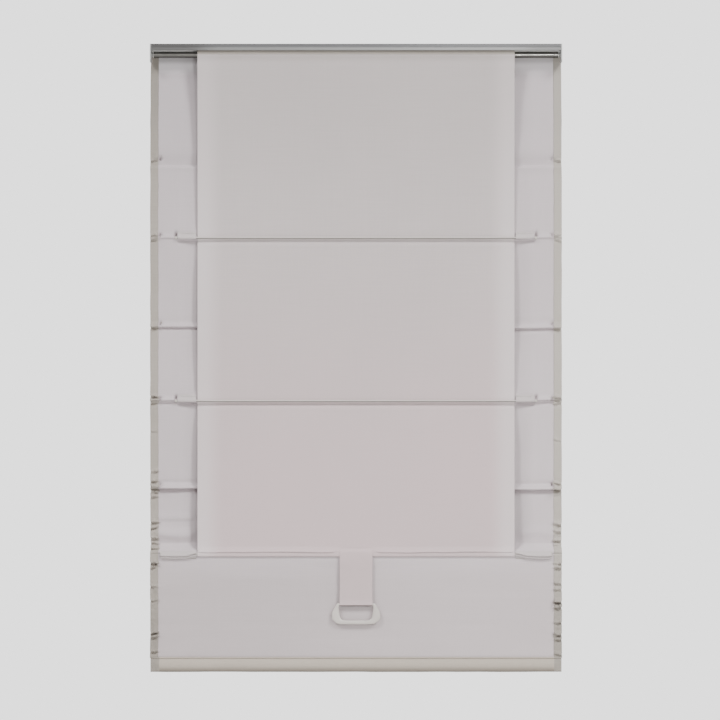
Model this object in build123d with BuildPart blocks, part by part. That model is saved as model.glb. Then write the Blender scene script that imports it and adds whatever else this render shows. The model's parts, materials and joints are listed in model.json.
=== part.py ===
from build123d import *
import os

os.makedirs("parts", exist_ok=True)

# Roman blind, fully let down. Millimetres, +Z up, +X to the right, the room side at -Y.
# The origin is the middle of the head rail's top face, where it meets the lintel.

# ---- driving dimensions -------------------------------------------------
WIDTH = 1000.0  # over the end brackets, and of the finished full-width cloth
DROP = 1524.0  # rail top to the cloth's lower edge

# head rail: an upside-down channel
RAIL_FRONT = -22.0
RAIL_BACK = 24.0
RAIL_WALL = 1.6
RAIL_TOP = 2.0
RAIL_LIP = 16.0  # height of the front lip
RAIL_REAR = 24.0  # height of the rear wall
FIX_SPACING = 800.0
FIX_R = 2.5

# end brackets
BRK_T = 3.0
BRK_H = 44.0
BRK_BACK = 20.0
TONGUE_L = 19.0
TONGUE_T = 4.0
BOSS_R = 6.0
BOSS_L = 3.0
SCREW_R = 1.5
SCREW_HEAD_R = 2.9
SCREW_L = 7.0
SCREW_X = 488.0
SCREW_Y = 12.0

# roller
AXIS_Z = -25.2
TUBE_R = 8.0
TUBE_WALL = 0.8
TUBE_HALF = 491.5
PIN_R = 2.5
SPINDLE_R = 3.0
TANG_T = 2.5
RUN = 0.05  # radial clearance of a running fit
SNUG = 0.01  # radial clearance of a pushed-in plug
ROLL_R = 13.5  # the turns that stay on the tube when the blind is down
SPRING_MEAN_R = 4.6
SPRING_WIRE_R = 0.6
SPRING_FROM = 326.0
SPRING_LEN = 148.0
SPRING_PITCH = 6.0

# cloth
CLOTH = 0.6
HEM = 19.5  # turned-over side hems
PANEL_W = 769.5
PANEL_BACK = -13.8
PANEL_FRONT = PANEL_BACK - CLOTH
MAIN_Y = -13.2  # middle of the full-width cloth below the first rod
MAIN_FRONT = MAIN_Y - CLOTH / 2
HEADER_Y = 26.5  # middle of the full-width cloth behind the rail
TAPE_HALF = 478.0

# rods that lie across the panel
ROD_R = 2.5
ROD_HALF = 437.0
ROD_Y = -17.3
ROD_A_Z = -470.5
ROD_B_Z = -866.0
POCKET_IN = 388.0
POCKET_OUT = 433.0
SLEEVE_IN = 2.8
SLEEVE_OUT = 3.4

# lower batten, in the panel's hem
BATTEN_Z = -1237.0
BATTEN_Y = -15.95
BATTEN_H = 10.0
BATTEN_T = 2.5
BATTEN_HALF = 470.0
BATTEN_CAP = 6.0

# tab and handle
TAB_W = 80.0
BAR_Y = -18.7
BAR_Z = -1360.0
BAR_R = 3.0
LOOP_IN = 3.3
LOOP_OUT = 3.9
HANDLE_T = 7.0

# bottom bar, in the cloth's bottom pocket
POCKET_H = 34.0
POCKET_T = 6.8
BOTTOM_Z = -DROP + POCKET_H / 2
BAR_H = 30.0
BAR_T = 5.0
BAR_WALL = 1.0
BAR_HALF = 490.0
BAR_CAP = 7.0


def save(part, name):
    part.label = name
    export_step(part, f"parts/{name}.step")


def across(x):
    """A plane square to X at x, with its own x along Y and its own y along Z."""
    return Plane(origin=(x, 0, 0), x_dir=(0, 1, 0), z_dir=(1, 0, 0))


# ---- head rail ----------------------------------------------------------
RAIL_HALF = WIDTH / 2 - BRK_T
with BuildPart() as head_rail:
    with BuildSketch(across(-RAIL_HALF)):
        with BuildLine():
            Polyline(
                (RAIL_FRONT, 0),
                (RAIL_BACK, 0),
                (RAIL_BACK, -RAIL_REAR),
                (RAIL_BACK - RAIL_WALL, -RAIL_REAR),
                (RAIL_BACK - RAIL_WALL, -RAIL_TOP),
                (RAIL_FRONT + RAIL_WALL, -RAIL_TOP),
                (RAIL_FRONT + RAIL_WALL, -RAIL_LIP + 1.2),
                # the lip's lower edge turns in a little, and its lower half stands proud
                (RAIL_FRONT + RAIL_WALL + 1.6, -RAIL_LIP + 1.2),
                (RAIL_FRONT + RAIL_WALL + 1.6, -RAIL_LIP),
                (RAIL_FRONT - 0.2, -RAIL_LIP),
                (RAIL_FRONT - 0.9, -RAIL_LIP + 1.0),
                (RAIL_FRONT - 0.9, -RAIL_LIP + 7.2),
                (RAIL_FRONT, -RAIL_LIP + 8.6),
                close=True,
            )
        make_face()
    extrude(amount=2 * RAIL_HALF)
    # holes for the two ceiling screws
    with Locations(Plane.XY):
        with GridLocations(FIX_SPACING, 1, 2, 1):
            Hole(FIX_R, depth=RAIL_TOP)
    # countersunk holes for the bracket screws
    with Locations(Plane.XY):
        with GridLocations(2 * SCREW_X, 2 * SCREW_Y, 2, 2):
            CounterSinkHole(SCREW_R + 0.15, SCREW_HEAD_R + 0.15, depth=RAIL_TOP, counter_sink_angle=90)
save(head_rail.part, "head_rail")


# ---- end brackets -------------------------------------------------------
def bracket(side):
    """side is -1 for the left bracket and +1 for the right one."""
    inner = side * (WIDTH / 2 - BRK_T)
    with BuildPart() as made:
        with BuildSketch(across(min(inner, inner + side * BRK_T))) as plate:
            with BuildLine():
                Polyline(
                    (RAIL_FRONT, 0),
                    (RAIL_BACK, 0),
                    (RAIL_BACK, -24),
                    (BRK_BACK, -28),
                    (BRK_BACK, -BRK_H),
                    (RAIL_FRONT, -BRK_H),
                    close=True,
                )
            make_face()
            fillet(plate.vertices().group_by(Axis.Y)[0], 9)
        extrude(amount=BRK_T)
        # the tongue that slides in under the rail's top wall
        with BuildSketch(across(min(inner, inner - side * TONGUE_L))):
            with Locations((0, -RAIL_TOP - TONGUE_T / 2)):
                Rectangle(36, TONGUE_T)
        extrude(amount=TONGUE_L)
        # the boss round the roller's axis
        with BuildSketch(across(min(inner, inner - side * BOSS_L))):
            with Locations((0, AXIS_Z)):
                Circle(BOSS_R)
        extrude(amount=BOSS_L)
        # threaded holes for the two bracket screws
        with Locations(Plane.XY.offset(-RAIL_TOP)):
            with Locations((side * SCREW_X, -SCREW_Y), (side * SCREW_X, SCREW_Y)):
                Hole(SCREW_R + SNUG, depth=TONGUE_T + 1)
        with BuildSketch(across(min(inner - side * 4, inner + side * 4))):
            with Locations((0, AXIS_Z)):
                if side < 0:
                    Circle(PIN_R + RUN)
                else:
                    Rectangle(2 * SPINDLE_R + 0.1, TANG_T + 0.1)
        extrude(amount=8, mode=Mode.SUBTRACT)
    return made.part


save(bracket(-1), "left_end_bracket")
save(bracket(1), "right_end_bracket")

with BuildPart() as bracket_screws:
    for sx in (-1, 1):
        for sy in (-1, 1):
            # a countersunk head, flush with the rail's top, over a plain shank, with a cross recess
            with BuildSketch(Plane.XZ.offset(-sy * SCREW_Y)):
                with BuildLine():
                    Polyline(
                        (sx * SCREW_X, 0),
                        (sx * SCREW_X + SCREW_HEAD_R, 0),
                        (sx * SCREW_X + SCREW_R, -(SCREW_HEAD_R - SCREW_R)),
                        (sx * SCREW_X + SCREW_R, -SCREW_L),
                        (sx * SCREW_X, -SCREW_L),
                        close=True,
                    )
                make_face()
            revolve(axis=Axis((sx * SCREW_X, sy * SCREW_Y, 0), (0, 0, 1)))
            with BuildSketch(Plane.XY.offset(-0.9)):
                with Locations((sx * SCREW_X, sy * SCREW_Y)):
                    Rectangle(3.0, 0.6)
                    Rectangle(0.6, 3.0)
            extrude(amount=1.0, mode=Mode.SUBTRACT)
save(bracket_screws.part, "bracket_screws")

# ---- touch-fastening tapes behind the rail ------------------------------
with BuildPart() as hook_tape:
    with BuildSketch(across(-TAPE_HALF)):
        with Locations((RAIL_BACK + 0.5, -13)):
            Rectangle(1.0, 20)
    extrude(amount=2 * TAPE_HALF)
save(hook_tape.part, "hook_tape")

with BuildPart() as loop_tape:
    with BuildSketch(across(-TAPE_HALF)):
        with Locations((RAIL_BACK + 1.6, -13)):
            Rectangle(1.2, 20)
    extrude(amount=2 * TAPE_HALF)
save(loop_tape.part, "loop_tape")

# ---- roller -------------------------------------------------------------
with BuildPart() as roller_tube:
    with BuildSketch(across(-TUBE_HALF)):
        with Locations((0, AXIS_Z)):
            Circle(TUBE_R)
            Circle(TUBE_R - TUBE_WALL, mode=Mode.SUBTRACT)
    extrude(amount=2 * TUBE_HALF)
save(roller_tube.part, "roller_tube")

with BuildPart() as panel_roll:
    with BuildSketch(across(-PANEL_W / 2)):
        with Locations((0, AXIS_Z)):
            Circle(ROLL_R)
            Circle(TUBE_R + 0.02, mode=Mode.SUBTRACT)
    extrude(amount=PANEL_W)
save(panel_roll.part, "panel_roll")

PLUG_R = TUBE_R - TUBE_WALL - SNUG
with BuildPart() as idle_plug:
    with BuildSketch(across(-TUBE_HALF)):
        with Locations((0, AXIS_Z)):
            Circle(PLUG_R)
    extrude(amount=24)
    with BuildSketch(across(-TUBE_HALF - 1.2)):
        with Locations((0, AXIS_Z)):
            Circle(TUBE_R - 0.2)
    extrude(amount=1.2)
    with BuildSketch(across(-TUBE_HALF - 1.2)):
        with Locations((0, AXIS_Z)):
            Circle(PIN_R + SNUG)
    extrude(amount=20, mode=Mode.SUBTRACT)
save(idle_plug.part, "idle_plug")

with BuildPart() as idle_pin:
    with BuildSketch(across(-WIDTH / 2 + 0.6)):
        with Locations((0, AXIS_Z)):
            Circle(PIN_R)
    extrude(amount=TUBE_HALF - 474 + 8)
    chamfer(idle_pin.edges().group_by(Axis.X)[0], 0.6)
save(idle_pin.part, "idle_pin")

with BuildPart() as tube_bearing:
    with BuildSketch(across(TUBE_HALF - 14)):
        with Locations((0, AXIS_Z)):
            Circle(PLUG_R)
    extrude(amount=14)
    with BuildSketch(across(TUBE_HALF)):
        with Locations((0, AXIS_Z)):
            Circle(TUBE_R - 0.2)
    extrude(amount=1.2)
    with BuildSketch(across(TUBE_HALF - 15)):
        with Locations((0, AXIS_Z)):
            Circle(SPINDLE_R + RUN)
    extrude(amount=20, mode=Mode.SUBTRACT)
save(tube_bearing.part, "tube_bearing")

with BuildPart() as motor_spindle:
    with BuildSketch(across(300)):
        with Locations((0, AXIS_Z)):
            Circle(SPINDLE_R)
    extrude(amount=493.6 - 300)
    # the flat tang that sits in the right bracket's slot
    with BuildSketch(across(493.6)):
        with Locations((0, AXIS_Z)):
            Circle(SPINDLE_R)
            Rectangle(2 * SPINDLE_R, TANG_T, mode=Mode.INTERSECT)
    extrude(amount=WIDTH / 2 - 0.6 - 493.6)
save(motor_spindle.part, "motor_spindle")

with BuildPart() as spring_collar:
    with BuildSketch(across(SPRING_FROM + SPRING_LEN + 0.9)):
        with Locations((0, AXIS_Z)):
            Circle(6.2)
            Circle(SPINDLE_R + SNUG, mode=Mode.SUBTRACT)
    extrude(amount=2.4)
    with BuildSketch(across(SPRING_FROM + SPRING_LEN - 5)):
        with Locations((0, AXIS_Z)):
            Circle(3.9)
            Circle(SPINDLE_R + SNUG, mode=Mode.SUBTRACT)
    extrude(amount=6)
save(spring_collar.part, "spring_collar")

with BuildPart() as spring_anchor:
    with BuildSketch(across(SPRING_FROM - 12.9)):
        with Locations((0, AXIS_Z)):
            Circle(PLUG_R)
            Circle(SPINDLE_R + RUN, mode=Mode.SUBTRACT)
    extrude(amount=12)
    with BuildSketch(across(SPRING_FROM - 1)):
        with Locations((0, AXIS_Z)):
            Circle(3.9)
            Circle(SPINDLE_R + RUN, mode=Mode.SUBTRACT)
    extrude(amount=6)
save(spring_anchor.part, "spring_anchor")

with BuildPart() as torsion_spring:
    with BuildLine() as coil:
        Helix(
            pitch=SPRING_PITCH,
            height=SPRING_LEN,
            radius=SPRING_MEAN_R,
            center=(SPRING_FROM, 0, AXIS_Z),
            direction=(1, 0, 0),
        )
    with BuildSketch(Plane(origin=coil.line @ 0, z_dir=coil.line % 0)):
        Circle(SPRING_WIRE_R)
    sweep(path=coil.line, is_frenet=True)
save(torsion_spring.part, "torsion_spring")

# ---- full-width cloth ---------------------------------------------------
FOLD_Z = -25.0  # where the cloth leaves the rail's rear and turns towards the room
TOP_Z = -2.0


def cloth_run(front, back):
    """The cloth's section as a closed line: front and back are how far its faces stand from its middle line."""
    z_end = BOTTOM_Z + POCKET_H / 2 - CLOTH / 2
    return [
        (HEADER_Y - front, TOP_Z),
        (HEADER_Y - front, FOLD_Z),
        (MAIN_Y - front, ROD_A_Z),
        (MAIN_Y - front, z_end),
        (MAIN_Y + back, z_end),
        (MAIN_Y + back, ROD_A_Z),
        (HEADER_Y + back, FOLD_Z),
        (HEADER_Y + back, TOP_Z),
    ]


with BuildPart() as main_fabric:
    with BuildSketch(across(-WIDTH / 2)):
        with BuildLine():
            Polyline(*cloth_run(CLOTH / 2, CLOTH / 2), close=True)
        make_face()
        # the bottom pocket, turned up and sewn, open at both ends
        with Locations((MAIN_Y, BOTTOM_Z)):
            RectangleRounded(POCKET_T, POCKET_H, POCKET_T / 2 - 0.05)
            RectangleRounded(POCKET_T - 2 * CLOTH, POCKET_H - 2 * CLOTH, POCKET_T / 2 - CLOTH - 0.05, mode=Mode.SUBTRACT)
    extrude(amount=WIDTH)
    # the side hems, turned over to the room side
    for x in (-WIDTH / 2, WIDTH / 2 - HEM):
        with BuildSketch(across(x)):
            with BuildLine():
                Polyline(*cloth_run(CLOTH * 1.5, CLOTH / 2), close=True)
            make_face()
        extrude(amount=HEM)
save(main_fabric.part, "main_fabric")

# ---- centre panel -------------------------------------------------------
HEM_TOP = BATTEN_Z + 7.5
HEM_LOW = BATTEN_Z - BATTEN_H / 2 - 1.0
HEM_FRONT = BATTEN_Y - BATTEN_T / 2 - 0.3
with BuildPart() as centre_panel:
    with BuildSketch(across(-PANEL_W / 2)):
        with BuildLine():
            Polyline(
                (PANEL_BACK, AXIS_Z),
                (PANEL_BACK, HEM_LOW - CLOTH),
                (HEM_FRONT - CLOTH, HEM_LOW - CLOTH),
                (HEM_FRONT - CLOTH, BATTEN_Z + BATTEN_H / 2 + 0.8),
                (PANEL_FRONT, HEM_TOP),
                (PANEL_FRONT, AXIS_Z),
                close=True,
            )
        make_face()
        with BuildLine():
            Polyline(
                (PANEL_FRONT, HEM_LOW),
                (HEM_FRONT, HEM_LOW),
                (HEM_FRONT, BATTEN_Z + BATTEN_H / 2 + 0.4),
                (PANEL_FRONT, HEM_TOP - 0.9),
                close=True,
            )
        make_face(mode=Mode.SUBTRACT)
    extrude(amount=PANEL_W)
save(centre_panel.part, "centre_panel")


# ---- rods, their caps and their pockets ---------------------------------
def rod(z):
    with BuildPart() as made:
        with BuildSketch(across(-ROD_HALF)):
            with Locations((ROD_Y, z)):
                Circle(ROD_R)
        extrude(amount=2 * ROD_HALF)
    return made.part


def rod_caps(z):
    with BuildPart() as made:
        for side in (-1, 1):
            with BuildSketch(across(side * ROD_HALF - (1.6 if side < 0 else 0))):
                with Locations((ROD_Y, z)):
                    Circle(3.3)
            extrude(amount=1.6)
            with BuildSketch(across(ROD_HALF - 3.4 if side > 0 else -ROD_HALF)):
                with Locations((ROD_Y, z)):
                    Circle(3.3)
                    Circle(ROD_R + SNUG, mode=Mode.SUBTRACT)
            extrude(amount=3.4)
    return made.part


def rod_pocket(z, side):
    """A cloth strip folded over the rod, with both of its edges sewn to the cloth above it."""
    with BuildPart() as made:
        with BuildSketch(across(POCKET_IN if side > 0 else -POCKET_OUT)):
            with Locations((ROD_Y, z)):
                Circle(SLEEVE_OUT)
            with Locations((MAIN_FRONT - 0.05 - CLOTH / 2, z + 7.2)):
                Rectangle(CLOTH, 15.4)
            with Locations((ROD_Y, z)):
                Circle(SLEEVE_IN, mode=Mode.SUBTRACT)
        extrude(amount=POCKET_OUT - POCKET_IN)
    return made.part


for letter, z in (("a", ROD_A_Z), ("b", ROD_B_Z)):
    save(rod(z), f"rod_{letter}")
    save(rod_caps(z), f"rod_{letter}_caps")
    save(rod_pocket(z, -1), f"rod_{letter}_pocket_left")
    save(rod_pocket(z, 1), f"rod_{letter}_pocket_right")

# ---- lower batten, its caps and its side pockets ------------------------
with BuildPart() as lower_batten:
    with BuildSketch(across(-BATTEN_HALF)):
        with Locations((BATTEN_Y, BATTEN_Z)):
            RectangleRounded(BATTEN_T, BATTEN_H, 0.8)
    extrude(amount=2 * BATTEN_HALF)
save(lower_batten.part, "lower_batten")

with BuildPart() as batten_caps:
    for side in (-1, 1):
        start = BATTEN_HALF if side > 0 else -BATTEN_HALF - BATTEN_CAP
        with BuildSketch(across(start)):
            with Locations((BATTEN_Y, BATTEN_Z)):
                RectangleRounded(BATTEN_T + 0.2, BATTEN_H + 0.4, 0.9)
        extrude(amount=BATTEN_CAP)
    chamfer(batten_caps.edges().group_by(Axis.X)[0] + batten_caps.edges().group_by(Axis.X)[-1], 0.5)
save(batten_caps.part, "batten_caps")


def lower_pocket(side):
    with BuildPart() as made:
        with BuildSketch(across(POCKET_IN if side > 0 else -474.0)):
            with Locations((BATTEN_Y, BATTEN_Z)):
                RectangleRounded(BATTEN_T + 0.6 + 2 * CLOTH, BATTEN_H + 1.2 + 2 * CLOTH, 1.6)
            with Locations((MAIN_FRONT - 0.05 - CLOTH / 2, BATTEN_Z - 5.5)):
                Rectangle(CLOTH, 13.5)
            with Locations((BATTEN_Y, BATTEN_Z)):
                RectangleRounded(BATTEN_T + 0.6, BATTEN_H + 1.2, 1.1, mode=Mode.SUBTRACT)
        extrude(amount=474.0 - POCKET_IN)
    return made.part


save(lower_pocket(-1), "lower_pocket_left")
save(lower_pocket(1), "lower_pocket_right")

# ---- tab and pull handle ------------------------------------------------
with BuildPart() as pull_tab:
    with BuildSketch(across(-TAB_W / 2)):
        # both layers of the strap, from the panel's hem down to the loop
        with BuildLine():
            Polyline(
                (HEM_FRONT - CLOTH - 0.02, BATTEN_Z + 9.0),
                (HEM_FRONT - CLOTH - 0.02, BAR_Z + 2.6),
                (HEM_FRONT - CLOTH - 0.02 - 2 * CLOTH, BAR_Z + 2.6),
                (HEM_FRONT - CLOTH - 0.02 - 2 * CLOTH, BATTEN_Z + 9.0),
                close=True,
            )
        make_face()
        with Locations((BAR_Y, BAR_Z)):
            Circle(LOOP_OUT)
            Circle(LOOP_IN, mode=Mode.SUBTRACT)
    extrude(amount=TAB_W)
save(pull_tab.part, "pull_tab")

with BuildPart() as pull_handle:
    with BuildSketch(Plane.XZ.offset(-BAR_Y - HANDLE_T / 2)) as ring:
        with BuildLine():
            Polyline(
                (-46.5, BAR_Z + 3.5),
                (-59, BAR_Z - 17),
                (-59, BAR_Z - 35),
                (-47, BAR_Z - 50.5),
                (47, BAR_Z - 50.5),
                (59, BAR_Z - 35),
                (59, BAR_Z - 17),
                (46.5, BAR_Z + 3.5),
                close=True,
            )
        make_face()
        fillet(ring.vertices(), 5)
        with BuildLine():
            Polyline(
                (-41.5, BAR_Z + 8.0),
                (-41.5, BAR_Z - 10),
                (-39.5, BAR_Z - 29),
                (-33, BAR_Z - 37),
                (33, BAR_Z - 37),
                (39.5, BAR_Z - 29),
                (41.5, BAR_Z - 10),
                (41.5, BAR_Z + 8.0),
                close=True,
            )
        make_face(mode=Mode.SUBTRACT)
    extrude(amount=HANDLE_T)
    fillet(pull_handle.faces().group_by(Axis.Y)[0].edges() + pull_handle.faces().group_by(Axis.Y)[-1].edges(), 1.6)
    # the round top bar that the strap is looped on
    with BuildSketch(across(-43)):
        with Locations((BAR_Y, BAR_Z)):
            Circle(BAR_R)
    extrude(amount=86)
save(pull_handle.part, "pull_handle")

# ---- bottom bar and its caps --------------------------------------------
with BuildPart() as bottom_bar:
    with BuildSketch(across(-BAR_HALF)):
        with Locations((MAIN_Y, BOTTOM_Z)):
            RectangleRounded(BAR_T, BAR_H, BAR_T / 2 - 0.1)
            RectangleRounded(BAR_T - 2 * BAR_WALL, BAR_H - 2 * BAR_WALL, BAR_T / 2 - BAR_WALL - 0.1, mode=Mode.SUBTRACT)
    extrude(amount=2 * BAR_HALF)
save(bottom_bar.part, "bottom_bar")


def bar_cap(side):
    """A plug that closes the hollow bar's end."""
    with BuildPart() as made:
        with BuildSketch(across(BAR_HALF if side > 0 else -BAR_HALF - BAR_CAP)):
            with Locations((MAIN_Y, BOTTOM_Z)):
                RectangleRounded(BAR_T, BAR_H, BAR_T / 2 - 0.1)
        extrude(amount=BAR_CAP)
        outer = made.edges().group_by(Axis.X)[-1 if side > 0 else 0]
        chamfer(outer, 0.8)
        with BuildSketch(across(BAR_HALF - 12 if side > 0 else -BAR_HALF)):
            with Locations((MAIN_Y, BOTTOM_Z)):
                RectangleRounded(
                    BAR_T - 2 * BAR_WALL - 0.1,
                    BAR_H - 2 * BAR_WALL - 0.1,
                    BAR_T / 2 - BAR_WALL - 0.15,
                )
        extrude(amount=12)
    return made.part


save(bar_cap(-1), "bottom_bar_cap_left")
save(bar_cap(1), "bottom_bar_cap_right")
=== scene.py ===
import bpy
import json
import math
import numpy as np
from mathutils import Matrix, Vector


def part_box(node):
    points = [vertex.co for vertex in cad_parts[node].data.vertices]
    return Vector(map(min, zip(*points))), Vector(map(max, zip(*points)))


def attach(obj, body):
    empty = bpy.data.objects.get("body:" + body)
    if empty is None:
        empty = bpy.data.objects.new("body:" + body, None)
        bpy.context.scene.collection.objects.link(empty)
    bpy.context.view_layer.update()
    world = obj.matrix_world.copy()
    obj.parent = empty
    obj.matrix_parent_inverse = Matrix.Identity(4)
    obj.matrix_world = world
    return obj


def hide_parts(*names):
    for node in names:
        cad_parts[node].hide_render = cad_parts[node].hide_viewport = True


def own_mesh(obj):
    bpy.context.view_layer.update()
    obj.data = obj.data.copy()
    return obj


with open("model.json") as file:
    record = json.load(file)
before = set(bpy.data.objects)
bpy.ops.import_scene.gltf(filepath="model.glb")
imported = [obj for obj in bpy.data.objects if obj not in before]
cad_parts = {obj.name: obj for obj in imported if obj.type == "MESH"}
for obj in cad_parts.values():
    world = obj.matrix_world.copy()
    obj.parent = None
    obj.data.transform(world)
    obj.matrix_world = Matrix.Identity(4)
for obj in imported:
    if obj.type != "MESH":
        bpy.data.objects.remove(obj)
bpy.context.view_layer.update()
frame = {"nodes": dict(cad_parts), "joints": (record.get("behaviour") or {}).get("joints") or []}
NODES = frame["nodes"]
MM = 0.001

# ---- the places that the frame gives, in millimetres ---------------------
TOP_Z = -2.0
FOLD_Z = -25.0
ROLL_Z = -25.2
ROD_A = (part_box("rod_a")[0].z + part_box("rod_a")[1].z) / 2 / MM
ROD_B = (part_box("rod_b")[0].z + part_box("rod_b")[1].z) / 2 / MM
ROD_Y = (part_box("rod_a")[0].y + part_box("rod_a")[1].y) / 2 / MM
BAT_Z = (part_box("lower_batten")[0].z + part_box("lower_batten")[1].z) / 2 / MM
BAT_Y = (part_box("lower_batten")[0].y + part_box("lower_batten")[1].y) / 2 / MM
BAR_Z = -1360.0
BAR_Y = -18.7
POCKET_Z = -1507.0
HEM_TOP = BAT_Z + 7.5
HALF = 500.0
PANEL_HALF = 384.75
CLOTH = 0.6


# ---- small numerical helpers ---------------------------------------------
def S(a, lo, hi):
    t = np.clip((np.asarray(a, float) - lo) / (hi - lo), 0, 1)
    return t * t * (3 - 2 * t)


def noise1(a, seed):
    r = np.random.default_rng(seed).uniform(-1, 1, 1024)
    a = np.asarray(a, float)
    i = np.floor(a).astype(int)
    f = a - i
    f = f * f * (3 - 2 * f)
    return r[i % 1024] * (1 - f) + r[(i + 1) % 1024] * f


def noise2(a, b, seed):
    r = np.random.default_rng(seed).uniform(-1, 1, (257, 257))
    a, b = np.broadcast_arrays(np.asarray(a, float), np.asarray(b, float))
    i, j = np.floor(a).astype(int), np.floor(b).astype(int)
    f, g = a - i, b - j
    f, g = f * f * (3 - 2 * f), g * g * (3 - 2 * g)
    i, j, i1, j1 = i % 257, j % 257, (i + 1) % 257, (j + 1) % 257
    return (r[i, j] * (1 - f) + r[i1, j] * f) * (1 - g) + (r[i, j1] * (1 - f) + r[i1, j1] * f) * g


def ridge(z, z0, up, down):
    d = np.asarray(z, float) - z0
    return np.where(d > 0, np.exp(-((d / up) ** 2)), np.exp(-((d / down) ** 2)))


def at(z_px):
    """Height in mm of a line of the reference view."""
    return -(z_px - 44.0) * 2.427


# ---- materials -----------------------------------------------------------
def srgb(r, g, b):
    out = []
    for v in (r, g, b):
        v /= 255.0
        out.append(v / 12.92 if v <= 0.04045 else ((v + 0.055) / 1.055) ** 2.4)
    return out


def tree(name, rough=0.5, metallic=0.0, sheen=0.0, specular=0.5):
    m = bpy.data.materials.new(name)
    m.use_nodes = True
    nt = m.node_tree
    nt.nodes.clear()
    out = nt.nodes.new("ShaderNodeOutputMaterial")
    sh = nt.nodes.new("ShaderNodeBsdfPrincipled")
    nt.links.new(sh.outputs[0], out.inputs[0])
    sh.inputs["Roughness"].default_value = rough
    sh.inputs["Metallic"].default_value = metallic
    sh.inputs["Specular IOR Level"].default_value = specular
    if sheen:
        sh.inputs["Sheen Weight"].default_value = sheen
        sh.inputs["Sheen Roughness"].default_value = 0.5
    co = nt.nodes.new("ShaderNodeTexCoord")
    return m, nt, sh, co.outputs["Object"]


def mapped(nt, coords, scale, offset=(0, 0, 0)):
    n = nt.nodes.new("ShaderNodeMapping")
    n.inputs["Scale"].default_value = scale
    n.inputs["Location"].default_value = offset
    nt.links.new(coords, n.inputs["Vector"])
    return n.outputs[0]


def noise(nt, coords, scale, detail=2.0, rough=0.5):
    n = nt.nodes.new("ShaderNodeTexNoise")
    n.inputs["Scale"].default_value = scale
    n.inputs["Detail"].default_value = detail
    n.inputs["Roughness"].default_value = rough
    nt.links.new(coords, n.inputs["Vector"])
    return n.outputs[0]


def wave(nt, coords, axis, scale, distortion=0.0):
    n = nt.nodes.new("ShaderNodeTexWave")
    n.wave_type = "BANDS"
    n.bands_direction = axis
    n.inputs["Scale"].default_value = scale
    n.inputs["Distortion"].default_value = distortion
    n.inputs["Detail"].default_value = 1.0
    n.inputs["Detail Scale"].default_value = 0.6
    nt.links.new(coords, n.inputs["Vector"])
    return n.outputs[1]


def math_node(nt, op, a, b, c=None):
    n = nt.nodes.new("ShaderNodeMath")
    n.operation = op
    for k, v in enumerate((a, b, c)):
        if v is None:
            continue
        if isinstance(v, (int, float)):
            n.inputs[k].default_value = v
        else:
            nt.links.new(v, n.inputs[k])
    return n.outputs[0]


def mixed(nt, factor, a, b):
    n = nt.nodes.new("ShaderNodeMix")
    n.data_type = "RGBA"
    n.inputs[6].default_value = (*a, 1) if not hasattr(a, "links") else (0, 0, 0, 1)
    n.inputs[7].default_value = (*b, 1) if not hasattr(b, "links") else (0, 0, 0, 1)
    if hasattr(a, "links"):
        nt.links.new(a, n.inputs[6])
    if hasattr(b, "links"):
        nt.links.new(b, n.inputs[7])
    nt.links.new(factor, n.inputs[0])
    return n.outputs[2]


def bumped(nt, sh, height, distance, strength=1.0):
    n = nt.nodes.new("ShaderNodeBump")
    n.inputs["Distance"].default_value = distance
    n.inputs["Strength"].default_value = strength
    nt.links.new(height, n.inputs["Height"])
    nt.links.new(n.outputs[0], sh.inputs["Normal"])


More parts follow.
